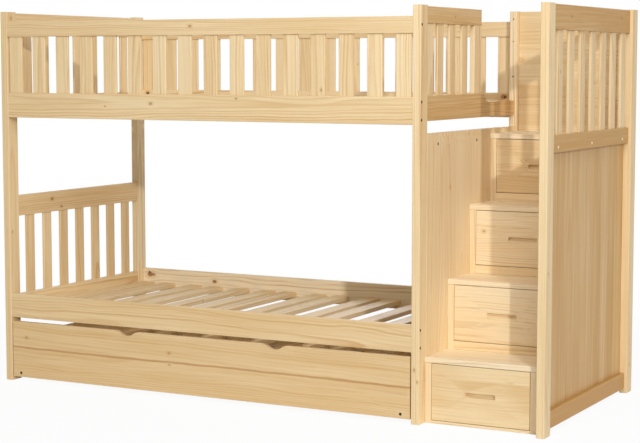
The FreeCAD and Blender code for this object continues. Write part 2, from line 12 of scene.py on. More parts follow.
import bmesh
import bpy
import numpy as np
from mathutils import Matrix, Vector


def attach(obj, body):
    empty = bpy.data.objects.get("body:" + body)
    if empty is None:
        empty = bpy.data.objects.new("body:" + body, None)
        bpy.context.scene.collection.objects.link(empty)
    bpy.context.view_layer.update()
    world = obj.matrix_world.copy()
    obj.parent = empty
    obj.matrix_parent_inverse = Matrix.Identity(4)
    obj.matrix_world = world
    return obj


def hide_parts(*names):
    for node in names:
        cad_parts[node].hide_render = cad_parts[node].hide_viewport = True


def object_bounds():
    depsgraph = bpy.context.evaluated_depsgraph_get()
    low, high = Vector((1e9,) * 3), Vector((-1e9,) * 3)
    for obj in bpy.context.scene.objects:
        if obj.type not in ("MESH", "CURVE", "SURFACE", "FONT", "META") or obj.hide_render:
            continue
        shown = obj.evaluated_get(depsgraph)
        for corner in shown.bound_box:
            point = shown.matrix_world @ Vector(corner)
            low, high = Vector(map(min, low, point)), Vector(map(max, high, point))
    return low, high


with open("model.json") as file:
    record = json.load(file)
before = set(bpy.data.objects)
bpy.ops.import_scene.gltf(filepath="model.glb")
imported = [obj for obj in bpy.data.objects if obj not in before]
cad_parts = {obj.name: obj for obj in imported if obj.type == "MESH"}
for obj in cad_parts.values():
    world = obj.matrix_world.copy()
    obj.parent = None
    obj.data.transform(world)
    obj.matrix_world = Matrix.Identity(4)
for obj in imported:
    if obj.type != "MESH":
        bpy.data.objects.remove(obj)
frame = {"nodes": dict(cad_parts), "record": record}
cad_low, cad_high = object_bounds()
corner = np.array(cad_low)
print("frame:", len(frame["nodes"]), "nodes, size", [round(s, 3) for s in cad_high - cad_low])


# %% [markdown]
# ## Shader maths as plain expressions
# A node tree is easier to read as a formula. Wire wraps one socket of a tree, and its arithmetic
# adds Math nodes, so that `1 - mask` is a Subtract node. Every other node comes from one method.

# %% Wire: a socket with arithmetic
class Wire:
    """A socket in a material's node tree. Arithmetic on it adds Math nodes."""

    def __init__(self, tree, socket=None):
        self.tree = tree
        self.socket = socket

    def node(self, kind, settings=None, sockets=None, out=0):
        """Adds a node: its settings first, then a value or a link for each named socket."""
        made = self.tree.nodes.new(kind)
        for name, value in (settings or {}).items():
            setattr(made, name, value)
        for key, value in (sockets or {}).items():
            if isinstance(value, Wire):
                self.tree.links.new(value.socket, made.inputs[key])
            else:
                made.inputs[key].default_value = value
        return Wire(self.tree, made.outputs[out])

    def math(self, operation, *values):
        """A Math node on the given values, or on this wire alone."""
        inputs = values or (self,)
        return self.node("ShaderNodeMath", {"operation": operation}, dict(enumerate(inputs)))

    def __add__(self, other):
        return self.math("ADD", self, other)

    def __sub__(self, other):
        return self.math("SUBTRACT", self, other)

    def __mul__(self, other):
        return self.math("MULTIPLY", self, other)

    def __truediv__(self, other):
        return self.math("DIVIDE", self, other)

    def __rsub__(self, other):
        return self.math("SUBTRACT", other, self)

    def __rtruediv__(self, other):
        return self.math("DIVIDE", other, self)

    __radd__ = __add__
    __rmul__ = __mul__

    def between(self, low, high):
        """0 below low, 1 above high, and smooth in between."""
        return self.node("ShaderNodeMapRange", {"interpolation_type": "SMOOTHSTEP"},
                         {"Value": self, "From Min": low, "From Max": high})


def vector(x, y, z):
    """Three numbers or wires as one vector."""
    given = next(part for part in (x, y, z) if isinstance(part, Wire))
    return given.node("ShaderNodeCombineXYZ", None, {0: x, 1: y, 2: z})


def parts(wire):
    """The three parts of a vector or a colour."""
    made = wire.node("ShaderNodeSeparateXYZ", None, {0: wire})
    node = made.socket.node
    return [Wire(wire.tree, node.outputs[part]) for part in range(3)]


def mix_colour(factor, first, second, blend="MIX"):
    """first where the factor is 0, second where it is 1."""
    given = next(part for part in (factor, first, second) if isinstance(part, Wire))
    return given.node("ShaderNodeMix", {"data_type": "RGBA", "blend_type": blend},
                      {0: factor, 6: first, 7: second}, out=2)


def noise(place, scale=1.0, detail=2.0, roughness=0.5):
    """Soft noise from 0 to 1, mostly near its middle."""
    return place.node("ShaderNodeTexNoise", {"noise_dimensions": "3D"},
                      {"Vector": place, "Scale": scale, "Detail": detail, "Roughness": roughness})


def dice(place):
    """Three numbers from 0 to 1 that jump from cell to cell."""
    return parts(place.node("ShaderNodeTexWhiteNoise", {"noise_dimensions": "3D"},
                            {"Vector": place}, out=1))


# %% [markdown]
# ## Pine
# A board is cut out of a log, so its grain is a slice through rings round the log's pith. The
# rings are worked out in the board's own directions: along it, across it and through it. The pith
# lies outside the board and leans a little, which gives the long arches on flat faces, and the
# ends show arcs by themselves. An image could hold only one face; the formula gives all six faces
# of each board, and they meet at the edges.

# %% Colours of the wood
EARLY_WOOD = (0.840, 0.655, 0.385, 1)     # pale, wide part of a ring
LATE_WOOD = (0.560, 0.310, 0.110, 1)      # dark, narrow part of a ring
WARM_WOOD = (0.530, 0.290, 0.075, 1)      # wood of a warmer board
PALE_WOOD = (0.920, 0.800, 0.580, 1)      # wood of a paler board
KNOT_HEART = (0.250, 0.105, 0.040, 1)
KNOT_EDGE = (0.480, 0.250, 0.090, 1)      # outer rings of a knot, and the trundle's dark line
GLUE_LINE = (0.480, 0.290, 0.130, 1)      # the joint between glued strips
print("wood: warm", WARM_WOOD[:3], "and pale", PALE_WOOD[:3])


# %% What a board tells its material
def attribute(start, name):
    """The three parts of one of the mesh's attributes."""
    return parts(start.node("ShaderNodeAttribute", {"attribute_name": name}, out=1))


def read_board(start):
    """The board's attributes as wires: where this point lies in it, where its pith runs, how its
    wood looks, and how far the ends and the long edges are."""
    board = SimpleNamespace()
    board.along, board.across, board.through = attribute(start, "board_place")
    board.pith_across, board.pith_through, board.seed = attribute(start, "board_nature")
    board.warmth, board.figure, board.knot_dark = attribute(start, "board_look")
    half_along, half_across, half_through = attribute(start, "board_half")
    board.to_end = half_along - board.along.math("ABSOLUTE")
    to_side = half_across - board.across.math("ABSOLUTE")
    to_face = half_through - board.through.math("ABSOLUTE")
    board.to_edge = to_side + to_face
    return board


# %% [markdown]
# ## Glued strips
# A wide panel or drawer front is glued up from strips of different boards. Each strip could be a
# mesh of its own, but a floor function in the material keeps the panel whole: it numbers the
# strips, and dice give each number its own pith, warmth and place in the log. The same fold tells
# how far the next glue line is.

# %% Cut a board into glued strips
STRIP_PITH_SIDE = 2.2        # how widely the strips' piths are spread sideways, in strip widths
STRIP_PITH_NEAR = 0.02       # the nearest a pith comes to its strip
STRIP_PITH_SPREAD = 0.09     # how much further away it can be
STRIP_WARMTH = 0.34          # how widely the strips differ in warmth


def glue_up(board, width):
    """Gives each strip its own place, pith, seed and warmth, and returns the distance to the next
    glue line."""
    shifted = board.across / width + board.seed * 7.0
    strip = shifted.math("FLOOR")
    in_strip = shifted - strip - 0.5
    side, depth, warmth = dice(vector(strip, board.seed * 91.0, 0.0))
    board.across = in_strip * width
    board.pith_across = (side - 0.5) * (STRIP_PITH_SIDE * width)
    board.pith_through = depth * STRIP_PITH_SPREAD + STRIP_PITH_NEAR
    board.seed = board.seed + strip * 0.137
    board.warmth = board.warmth + (warmth - 0.5) * STRIP_WARMTH
    return (0.5 - in_strip.math("ABSOLUTE")) * width


# %% [markdown]
# ## Knots
# A knot is a branch that the board was cut through. A dark spot alone would look painted on,
# because in real wood the rings flow round the knot. That is made by moving the point away from
# the knot before its ring is looked up. The knot itself is a dark oval, longer along the grain,
# with a ragged rim, fine rings of its own and a warm halo.

# %% Bend the grain round the knots
KNOTS_PER_BOARD = 3          # how many knots of its own a board can carry
KNOT_STRETCH = 0.45          # how little the way along the grain counts, below 1
KNOT_FADE = 0.16             # how soon a knot stops bending the grain
KNOT_BEND = 0.72             # how far the grain moves, as a share of the way to the knot


def bend_round_knots(start, board):
    """Finds where the grain here would run without knots, and how far each knot is in knot radii.
    The distance is the root of (stretch * along squared + across squared), over the radius, and
    the grain is moved by bend * across * exp(-fade * distance squared)."""
    board.bent = board.across
    board.to_knots = []
    for number in range(1, KNOTS_PER_BOARD + 1):
        along, across, radius = attribute(start, "knot_%d" % number)
        far = (along * along * KNOT_STRETCH + across * across).math("SQRT") / radius
        pull = (far * far * -KNOT_FADE).math("EXPONENT")
        board.bent = board.bent - across * pull * KNOT_BEND
        board.to_knots.append(far)


# %% Paint the knots
KNOT_RAG = 260.0             # waves of a knot's ragged rim for each metre
KNOT_RIM = (0.70, 1.12)      # in knot radii, where the dark starts to fade and where it ends
KNOT_HALO = (0.9, 2.8)       # the same for the warm halo
HALO_WARMTH = 0.26
KNOT_RINGS = 17.0            # radians of the knot's own rings for each knot radius


def paint_knots(board, colour):
    """The colour with the knots on it, and 1 inside a knot and 0 outside."""
    rag = noise(board.home, KNOT_RAG, 2.0)
    inside = None
    for far in board.to_knots:
        dark = 1 - (far + (rag - 0.5) * 0.5).between(*KNOT_RIM)
        halo = (1 - far.between(*KNOT_HALO)) * HALO_WARMTH
        rings = (far * KNOT_RINGS + rag * 3.0).math("SINE") * 0.5 + 0.5
        heart = mix_colour(rings * 0.7, KNOT_HEART, KNOT_EDGE)
        colour = mix_colour(halo, colour, WARM_WOOD)
        colour = mix_colour(dark * board.knot_dark, colour, heart)
        inside = dark if inside is None else inside.math("MAXIMUM", inside, dark)
    return colour, inside


# %% [markdown]
# ## Growth rings
# A ring starts pale in spring, darkens slowly and ends sharply in autumn. Real rings wander, vary
# in width and fade in places, so soft noise bends them. Wood is alike over a long way along the
# grain and changes quickly across it, so every noise is stretched: the table gives its waves for
# each metre along the board and across it.

# %% Noise that follows the grain
WAVES = {                                # along, across, detail, roughness
    "drift": (1.1, 4.0, 2.0, 0.5),       # slow wandering of all rings
    "waver": (7.0, 16.0, 2.0, 0.5),      # small bends of each ring
    "patch": (2.2, 30.0, 2.0, 0.5),      # where rings show and where they fade
    "cloud": (1.6, 22.0, 3.0, 0.5),      # broad warm and pale areas
    "vein": (2.6, 150.0, 2.0, 0.6),      # narrow warm and pale lines
    "fibre": (9.0, 520.0, 2.0, 0.6),     # fine lines of the wood itself
    "dash": (55.0, 1100.0, 1.0, 0.5),    # resin ducts, cut open by the plane
}


def pattern(board, name):
    """One of the table's noises, from 0 to 1."""
    along, across, detail, roughness = WAVES[name]
    place = board.home.node("ShaderNodeVectorMath", {"operation": "MULTIPLY"},
                            {0: board.home, 1: (along, across, across)})
    return noise(place, 1.0, detail, roughness)


print("noises:", ", ".join(WAVES))


# %% Follow the grain
def follow_grain(board):
    """Finds the board's place in a log of its own, and how far the grain wanders there."""
    board.home = vector(board.along + board.seed * 37.0, board.bent + board.seed * 11.0,
                        board.through + board.seed * 5.0)
    board.drift = pattern(board, "drift") - 0.5
    board.waver = pattern(board, "waver") - 0.5


# %% The rings
RING_WIDTH = 0.0095
RING_UNEVEN = 1.6            # how far the rings' widths vary, counted in rings
LOG_LEAN = 0.011             # how much further the pith lies for each metre along the board
DRIFT_ASIDE = 0.075          # how far the noises move the rings aside and in depth
WAVER_ASIDE = 0.008
DRIFT_DEEP = 0.03
DARKENS = (0.35, 0.90)       # where in a ring the late wood sets in
ENDS = (0.93, 1.00)          # where in a ring it stops
FAINTEST_RING = 0.15         # darkness of the faintest ring, where the darkest has 1
PATCH_LEAST = 0.30           # how dark the rings are in their faintest patch
PATCH_GAIN = 1.4


def growth_rings(board):
    """How dark the late wood is here. The distance from the pith is the root of (side squared +
    depth squared), a ring's number is that distance over the ring width, and dice give each ring
    its own strength."""
    side = board.bent - board.pith_across + board.drift * DRIFT_ASIDE + board.waver * WAVER_ASIDE
    depth = board.through - board.pith_through + board.drift * DRIFT_DEEP
    radius = (side * side + depth * depth).math("SQRT") + board.along * LOG_LEAN
    uneven = noise(vector(radius * 40.0, board.seed * 13.0, 0.0), 1.0, 1.0)
    ring = radius / RING_WIDTH + uneven * RING_UNEVEN
    number = ring.math("FLOOR")
    phase = ring - number
    late = phase.between(*DARKENS) * (1 - phase.between(*ENDS))
    chance = dice(vector(number, board.seed * 53.0, 1.0))[0]
    strength = chance * chance * (1 - FAINTEST_RING) + FAINTEST_RING
    shown = pattern(board, "patch") * PATCH_GAIN + PATCH_LEAST
    return late * strength * shown * board.figure


# %% [markdown]
# ## The finished pine
# All the parts meet in one material. A warm board mixes towards one colour and a pale one towards
# another, late wood and resin darken it, and knots come on top. Sanding pales the edges, and end
# grain soaks up more lacquer and turns darker. The lacquer is thin, so the grain can still be felt
# as a slight bump, and late wood is a little duller.

# %% The colour of plain wood
CLOUD_WARMTH = 0.75          # how far clouds and veins change the warmth of a board
VEIN_WARMTH = 0.75
RESIN_DARKNESS = 0.16
FIBRE_SHADE = 0.16           # how far fibres and clouds lighten and darken it
CLOUD_SHADE = 0.10


def wood_colour(board, late, fibre, resin):
    """The wood without knots and glue. blush is above 0 where it is warm and below 0 where it is
    pale, and each mix ignores a share below 0."""
    cloud = pattern(board, "cloud") - 0.5
    vein = pattern(board, "vein") - 0.5
    blush = board.warmth + cloud * CLOUD_WARMTH + vein * VEIN_WARMTH * board.figure
    colour = mix_colour(blush, EARLY_WOOD, WARM_WOOD)
    colour = mix_colour(0.0 - blush, colour, PALE_WOOD)
    colour = mix_colour(late, colour, LATE_WOOD)
    colour = mix_colour(resin * RESIN_DARKNESS, colour, LATE_WOOD)
    shade = fibre * FIBRE_SHADE + cloud * CLOUD_SHADE + 1.0
    return mix_colour(1.0, colour, vector(shade, shade, shade), "MULTIPLY")


# %% Start and finish a material
def new_material(name):
    """A material, a wire to start its formulas from, and its shader."""
    material = bpy.data.materials.new(name)
    material.use_nodes = True
    return material, Wire(material.node_tree), material.node_tree.nodes["Principled BSDF"]


def finish_material(material, shader, colour, roughness, bump):
    """Links the three things that vary over a surface."""
    for name, wire in (("Base Color", colour), ("Roughness", roughness), ("Normal", bump)):
        material.node_tree.links.new(wire.socket, shader.inputs[name])


# %% The pine material
LACQUER_ROUGHNESS = 0.42
LACQUER_SHEEN = 0.22         # the shader's specular level
GRAIN_RELIEF = 0.00022       # height of the grain under the lacquer
STREAK_DARKNESS = 0.75
GLUE_DARKNESS = 0.35
SANDED_PALENESS = 0.22
SOAKED_DARKNESS = 0.32
# How far from its middle or edge each of these is whole, and how far until it has faded out.
STREAK_FADES = (0.0026, 0.0062)
GLUE_FADES = (0.0001, 0.0006)
SANDED_FADES = (0.0004, 0.0036)
SOAKED_FADES = (0.0, 0.0012)


def pine(name, strip=None, streak=None, pale=0.0):
    """Lacquered pine. strip is the width of the glued strips of a panel; streak is the height of
    one dark, wandering grain line above the board's middle; pale lightens all of it."""
    material, start, shader = new_material(name)
    board = read_board(start)
    to_glue = glue_up(board, strip) if strip else None
    bend_round_knots(start, board)
    follow_grain(board)
    late = growth_rings(board)
    fibre = pattern(board, "fibre") - 0.5
    resin = pattern(board, "dash").between(0.70, 0.78)

    colour = wood_colour(board, late, fibre, resin)
    if streak is not None:
        line = (board.bent - streak + board.drift * 0.016 + board.waver * 0.010).math("ABSOLUTE")
        dark = (1 - line.between(*STREAK_FADES)) * STREAK_DARKNESS
        colour = mix_colour(dark, colour, KNOT_EDGE)
    if to_glue:
        dark = (1 - to_glue.between(*GLUE_FADES)) * GLUE_DARKNESS
        colour = mix_colour(dark, colour, GLUE_LINE)
    if pale:
        colour = mix_colour(pale, colour, PALE_WOOD)
    colour, in_knot = paint_knots(board, colour)
    sanded = (1 - board.to_edge.between(*SANDED_FADES)) * SANDED_PALENESS
    soaked = (1 - board.to_end.between(*SOAKED_FADES)) * SOAKED_DARKNESS
    colour = mix_colour(sanded, colour, EARLY_WOOD)
    colour = mix_colour(soaked, colour, LATE_WOOD)

    # Late wood and fibres stand up a little, resin ducts and knots lie lower.
    relief = late * 0.5 + fibre * 0.35 - resin * 0.4 - in_knot * 0.3
    bump = start.node("ShaderNodeBump", None,
                      {"Strength": 0.35, "Distance": GRAIN_RELIEF, "Height": relief})
    roughness = LACQUER_ROUGHNESS + fibre * 0.10 + late * 0.08 + in_knot * 0.06
    finish_material(material, shader, colour, roughness, bump)
    shader.inputs["Specular IOR Level"].default_value = LACQUER_SHEEN
    return material


BOARD_PINE = pine("pine_board")
PANEL_PINE = pine("pine_panel", strip=0.088)
DRAWER_PINE = pine("pine_drawer_front", strip=0.112)
TRUNDLE_PINE = pine("pine_trundle_front", streak=0.008)
PLUG_PINE = pine("pine_plug", pale=0.75)
print("pine:", len(BOARD_PINE.node_tree.nodes), "nodes in the board material")


# %% [markdown]
# ## From solids to boards
# The frame's meshes are loose triangles, and one node can hold many boards, such as 16 slats. Each
# is welded and its flat faces are made whole, so that a bevel can round the edges. Boards that
# touch share corners, so a board is found by its triangles: two belong together if they share an
# edge that no other triangle uses. Then each board's own directions go into the mesh as
# attributes, which the pine reads. Object coordinates would do for one board, but here every
# slat needs a middle and a grain of its own.

# %% Read the points and triangles of a node
MERGE_GRID = 2e-6            # points in one cell of this size are the same point


def point_places(mesh):
    """The places of a mesh's points, as rows of three."""
    places = np.empty(len(mesh.vertices) * 3, np.float32)
    mesh.vertices.foreach_get("co", places)
    return places.reshape(-1, 3)


def welded_triangles(node):
    """The node's points, one for each place, and its triangles as rows of point numbers."""
    mesh = frame["nodes"][node].data
    points = point_places(mesh)
    mesh.calc_loop_triangles()
    corners = np.empty(len(mesh.loop_triangles) * 3, np.int32)
    mesh.loop_triangles.foreach_get("vertices", corners)
    cells = np.round(points / MERGE_GRID).astype(np.int64)
    _, first, home = np.unique(cells, axis=0, return_index=True, return_inverse=True)
    triangles = home.reshape(-1)[corners].reshape(-1, 3)
    solid = (triangles != np.roll(triangles, 1, axis=1)).all(axis=1)
    return points[first].astype(float), triangles[solid]


# %% Find the boards of a node
def solid_labels(triangles):
    """A number for each triangle, alike for the triangles of one solid. Each triangle starts with
    its own number, and triangles that share an edge take the lower of theirs until all agree."""
    edges = np.sort(np.stack([triangles, np.roll(triangles, -1, axis=1)], axis=2), axis=2)
    edges = edges.reshape(-1, 2)
    owner = np.repeat(np.arange(len(triangles)), 3)
    _, which, uses = np.unique(edges, axis=0, return_inverse=True, return_counts=True)
    which = which.reshape(-1)
    order = np.argsort(which, kind="stable")
    paired = order[uses[which[order]] == 2].reshape(-1, 2)
    left, right = owner[paired[:, 0]], owner[paired[:, 1]]
    labels = np.arange(len(triangles))
    while True:
        low = np.minimum(labels[left], labels[right])
        new = labels.copy()
        np.minimum.at(new, left, low)
        np.minimum.at(new, right, low)
        new = new[new]
        if (new == labels).all():
            return np.unique(labels, return_inverse=True)[1].reshape(-1)
        labels = new


some_triangles = welded_triangles("lower_headboard_slats")[1]
print("lower headboard:", solid_labels(some_triangles).max() + 1, "slats found")


# %% Make the boards' flat faces whole
FLAT_ANGLE = math.radians(0.4)    # triangles that meet flatter than this become one face


def board_mesh(name, node):
    """A mesh of the node with whole flat faces, and the number of the solid at each point."""
    points, triangles = welded_triangles(node)
    labels = solid_labels(triangles)
    keys = np.stack([np.repeat(labels, 3), triangles.reshape(-1)], axis=1)
    kept, index = np.unique(keys, axis=0, return_inverse=True)
    mesh = bpy.data.meshes.new(name)
    faces = index.reshape(-1, 3)
    mesh.from_pydata(points[kept[:, 1]].tolist(), [], faces.tolist())
    mark = mesh.attributes.new("solid", "INT", "POINT")
    mark.data.foreach_set("value", kept[:, 0].astype(np.int32))
    work = bmesh.new()
    work.from_mesh(mesh)
    bmesh.ops.dissolve_limit(work, angle_limit=FLAT_ANGLE, verts=work.verts, edges=work.edges,
                             delimit={"NORMAL"})
    work.to_mesh(mesh)
    work.free()
    return mesh


# %% How the boards differ
# For the nodes whose name starts so: how warm the wood is, from -1 for pale to 1, how far the
# node's boards differ in that, how strong their figure is and how dark their knots are. The warmth
# is partly the wood's own tone and partly painted light and shade: it was set so that each board
# shows its tone under these lamps, so some boards are darker and warmer as painted shade, and
# others paler as painted light.
LOOKS_WITH_PAINTED_LIGHT = (
    # Painted shade: the rails and the right panel of the outer stair end are darker and warmer on
    # that side.
    ("stair_end_base_rail", (1.00, 0.0, 0.9, 0.5)),
    ("stair_end_mid_rail", (0.95, 0.0, 0.9, 0.5)),
    ("stair_end_top_rail", (0.93, 0.0, 1.0, 0.4)),
    ("stair_end_slats", (0.20, 0.10, 0.6, 0.4)),
    ("stair_panel_right", (0.72, 0.0, 1.1, 0.5)),
    # Painted light: the left stair panel and the treads are paler, as if the stair well had more
    # light from above.
    ("stair_panel_left", (-0.16, 0.0, 0.7, 0.5)),
    ("stair_treads", (-0.60, 0.10, 0.6, 0.5)),
    ("stair_drawer_frames", (-0.10, 0.10, 0.6, 0.4)),
    ("stair_back_panel_upper", (0.16, 0.0, 0.5, 0.5)),
    ("foot_guard_top_rail", (0.58, 0.0, 1.0, 0.6)),
    ("entry_end_rail", (0.58, 0.0, 1.0, 0.6)),
    ("lower_headboard_top_rail", (0.34, 0.0, 0.9, 0.9)),
    ("lower_headboard", (0.18, 0.10, 0.8, 0.8)),
    ("trundle_front", (0.34, 0.0, 0.5, 0.5)),
    ("lower_side_rail_front", (0.27, 0.0, 0.7, 0.5)),
    # Painted light: the lower back side rail is paler where the sun here leaves it in shade.
    ("lower_side_rail_back", (-0.95, 0.0, 0.7, 0.9)),
    ("upper_side_rail_front", (0.15, 0.0, 0.9, 0.6)),
    ("upper_side_rail_back", (0.05, 0.0, 0.8, 0.9)),
    ("front_guard_top_rail", (0.17, 0.0, 0.8, 0.6)),
    ("back_guard_top_rail", (0.15, 0.0, 0.8, 0.5)),
    ("drawer_4_front", (0.22, 0.0, 0.55, 0.5)),
    ("drawer_3_front", (-0.36, 0.0, 0.45, 0.5)),
    ("drawer_2_front", (-0.18, 0.0, 0.60, 0.5)),
    ("drawer_1_front", (0.22, 0.0, 0.45, 0.5)),
    ("stair_post", (0.10, 0.0, 0.5, 0.5)),
    ("bed_post_front_left", (0.18, 0.0, 0.6, 0.5)),
    ("bed_post_front_right", (0.05, 0.0, 0.6, 0.5)),
    ("bed_post", (-0.22, 0.0, 0.7, 0.6)),
)
PLAIN_LOOK = (0.06, 0.14, 0.7, 0.5)
SIDEWAYS_GRAIN = {"stair_back_panel_upper": 0, "stair_back_panel_lower": 0}


def board_look(node):
    """The four numbers of the first name in the list that fits the node."""
    return next((look for key, look in LOOKS_WITH_PAINTED_LIGHT if node.startswith(key)), PLAIN_LOOK)


def board_axes(node, size):
    """The axes along, across and through a board: by falling size, unless the grain is known."""
    along = SIDEWAYS_GRAIN.get(node, int(np.argmax(size)))
    rest = [axis for axis in range(3) if axis != along]
    across, through = sorted(rest, key=lambda axis: -size[axis])
    return [along, across, through]


print("looks:", len(LOOKS_WITH_PAINTED_LIGHT), "kinds of board and a plain one")


# %% Choose a pith and knots for a board
PITH_ASIDE = 0.035           # how widely the piths are spread across the boards
PITH_DEPTH = (0.025, 0.085)  # how far from the board's middle a pith runs, to either side
RANDOM_KNOTS = 2
KNOT_FIELD = 0.9             # share of the board's length and width that random knots keep to
KNOT_CHANCE = 0.35           # chance of each random knot for a metre of half the board's length
MOST_CHANCE = 0.40
SMALL_KNOT = (0.0020, 0.0045)
KNOT_REACH = 0.004           # how far from a board a listed knot may lie and still be on it
ON_FACE = 0.002              # nearer than this to a face, a knot lies on that face
NARROW_HALF = 0.04           # half the width up to which a knot on a board's edge is drawn round


def draw_pith(draw):
    """Where a board's pith runs, across and through the board, and a random number for it."""
    turned = 1 if draw.random() < 0.5 else -1
    return draw.normal(0, PITH_ASIDE), turned * draw.uniform(*PITH_DEPTH), draw.random()


def random_knots(draw, half):
    """Up to two small knots at random places of a board, mostly none on short ones."""
    chance = min(MOST_CHANCE, half[0] * KNOT_CHANCE)
    found = []
    for _ in range(RANDOM_KNOTS):
        spot = draw.uniform(-KNOT_FIELD, KNOT_FIELD, 2) * half[:2]
        radius = draw.uniform(*SMALL_KNOT)
        if draw.random() < chance:
            found.append((spot[0], spot[1], 1, radius))
    return found


def listed_knots(seen_knots, middle, half, axes):
    """The listed knots that lie on a board: how far along it, how far aside, in which of its
    directions aside is, and the radius. On the edge of a narrow board, aside is through it."""
    found = []
    for spot, radius in seen_knots:
        offset = (spot - middle)[axes]
        if (np.abs(offset) <= half + KNOT_REACH).all():
            on_narrow_face = abs(offset[1]) > half[1] - ON_FACE and half[1] < NARROW_HALF
            side = 2 if on_narrow_face else 1
            found.insert(0, (offset[0], offset[side], side, radius))
    return found


# %% Write what the pine reads
NO_KNOT = (10.0, 10.0, 0.001)     # a knot too far away and too small to show
SEED_STEP = 7919


def set_vectors(mesh, name, values):
    """Gives the mesh a named vector for each point."""
    layer = mesh.attributes.new(name, "FLOAT_VECTOR", "POINT")
    layer.data.foreach_set("vector", np.asarray(values, np.float32).reshape(-1))


def dress_boards(mesh, node, seen_knots):
    """Writes the attributes that the pine reads: each point's place from its board's middle, the
    pith's place and a random number, half the board's size, how warm its wood is (with painted
    light and shade on some nodes), how strong its figure and how dark its knots, and the way to
    each of its knots. Returns the boards' number."""
    points = point_places(mesh).astype(float)
    count = len(points)
    labels = np.empty(count, np.int32)
    mesh.attributes["solid"].data.foreach_get("value", labels)
    place, nature, half_size, look = np.zeros((4, count, 3))
    warmth, spread, figure, knot_dark = board_look(node)
    knots = np.tile(np.array(NO_KNOT), (KNOTS_PER_BOARD, count, 1))
    draw = np.random.default_rng(sum(map(ord, node)) * SEED_STEP)
    for label in range(labels.max() + 1):
        own = labels == label
        low, high = points[own].min(0), points[own].max(0)
        middle = (low + high) / 2
        axes = board_axes(node, high - low)
        half = ((high - low) / 2)[axes]
        place[own] = (points[own] - middle)[:, axes]
        nature[own] = draw_pith(draw)
        half_size[own] = half
        look[own] = (warmth + draw.uniform(-spread, spread), figure, knot_dark)
        own_knots = listed_knots(seen_knots, middle, half, axes) + random_knots(draw, half)
        for number, (along, aside, side, radius) in enumerate(own_knots[:KNOTS_PER_BOARD]):
            knots[number, own, 0] = place[own, 0] - along
            knots[number, own, 1] = place[own, side] - aside
            knots[number, own, 2] = radius
    for name, values in (("board_place", place), ("board_nature", nature),
                         ("board_half", half_size), ("board_look", look)):
        set_vectors(mesh, name, values)
    for number in range(KNOTS_PER_BOARD):
        set_vectors(mesh, "knot_%d" % (number + 1), knots[number])
    return labels.max() + 1


# %% [markdown]
# ## Knots that the bed shows
# These places are real sizes: millimetres from the bed's left end, from its front and from the
# floor, with the knot's radius. All other knots are left to chance, from a fixed seed, so that
# every run of the lesson gives the same bed.

# %% The list of knots
MM = 0.001
SEEN_KNOTS = {
    "lower_side_rail_back": [(76, 1043, 364, 12), (96, 1043, 363, 6), (452, 1043, 349, 9)],
    "lower_headboard_top_rail": [(31, 312, 791, 7), (31, 382, 752, 5)],
    "lower_headboard_slats": [(25, 857, 470, 5)],
    "bed_post_front_left": [(34, 18, 665, 4), (34, 31, 1609, 5)],
    "front_guard_top_rail": [(984, 2, 1564, 6)],
    "upper_side_rail_front": [(787, 2, 1243, 6), (554, 2, 1229, 3), (1205, 2, 1268, 4)],
    "upper_side_rail_back": [(70, 1043, 1266, 8), (1957, 1043, 1264, 12)],
    "bed_post_front_right": [(2011, 0, 217, 5), (2024, 0, 170, 4)],
    "stair_end_top_rail": [(2540, 277, 1590, 6), (2540, 887, 1597, 6)],
    "drawer_3_front": [(2096, 492, 723, 5)],
    "trundle_front": [(114, 2, 198, 5), (867, 2, 189, 5), (869, 2, 140, 4)],
    "stair_post_back": [(2552, 1032, 122, 4)],
}


def knots_of(node):
    """The seen knots of a node as (place in the frame, radius)."""
    return [(corner + np.array(spot[:3]) * MM, spot[3] * MM) for spot in SEEN_KNOTS.get(node, [])]


print("knots:", sum(map(len, SEEN_KNOTS.values())), "listed on", len(SEEN_KNOTS), "nodes")


# %% [markdown]
# ## Dressing the wood
# Each wooden node is replaced by its welded copy with rounded edges. The edges could be rounded
# in the mesh itself, but a Bevel modifier is shorter and can be changed later. It is narrow: the
# boards are already eased, and the real edge feels soft but not round.

# %% Put a piece in place of a node
body_of_node = {}
for body, members in frame["record"]["behaviour"]["bodies"].items():
    for member in members:
        body_of_node[member] = body
slot_of_node = {part["node"]: part["material_slot"] for part in frame["record"]["subparts"]}


def place_piece(name, mesh, node, material):
    """Shows a mesh in place of a node, on the node's body."""
    piece = bpy.data.objects.new(name, mesh)
    bpy.context.scene.collection.objects.link(piece)
    mesh.materials.append(material)
    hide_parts(node)
    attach(piece, body_of_node[node])
    return piece


print("bodies:", sorted(set(body_of_node.values())))

# %% Replace the wooden nodes
WOOD_ROUNDING = 0.0007
ROUNDING_STEPS = 2
SHARP_ANGLE = math.radians(30)    # edges sharper than this are rounded
PANELS = ("stair_panel_left", "stair_panel_right", "stair_back_panel_upper",
          "stair_back_panel_lower", "stair_treads")


def round_edges(piece, width):
    """Rounds a piece's sharp edges and lets light run smoothly over them."""
    bevel = piece.modifiers.new("rounded_edges", "BEVEL")
    bevel.width = width
    bevel.segments = ROUNDING_STEPS
    bevel.limit_method = "ANGLE"
    bevel.angle_limit = SHARP_ANGLE
    bevel.harden_normals = True
    piece.data.shade_smooth()


def wood_for(node):
    """The pine that a node is made of."""
    if node in PANELS:
        return PANEL_PINE
    if node.startswith("drawer") and node.endswith("front"):
        return DRAWER_PINE
    special = {"trundle_front": TRUNDLE_PINE, "stair_end_plugs": PLUG_PINE}
    return special.get(node, BOARD_PINE)


wooden = sorted(node for node, slot in slot_of_node.items() if "pine" in slot)
board_total = 0
for node in wooden:
    mesh = board_mesh(node + "_wood", node)
    board_total += dress_boards(mesh, node, knots_of(node))
    piece = place_piece(node + "_wood", mesh, node, wood_for(node))
    round_edges(piece, WOOD_ROUNDING)
print("wood:", len(wooden), "nodes dressed,", board_total, "boards")


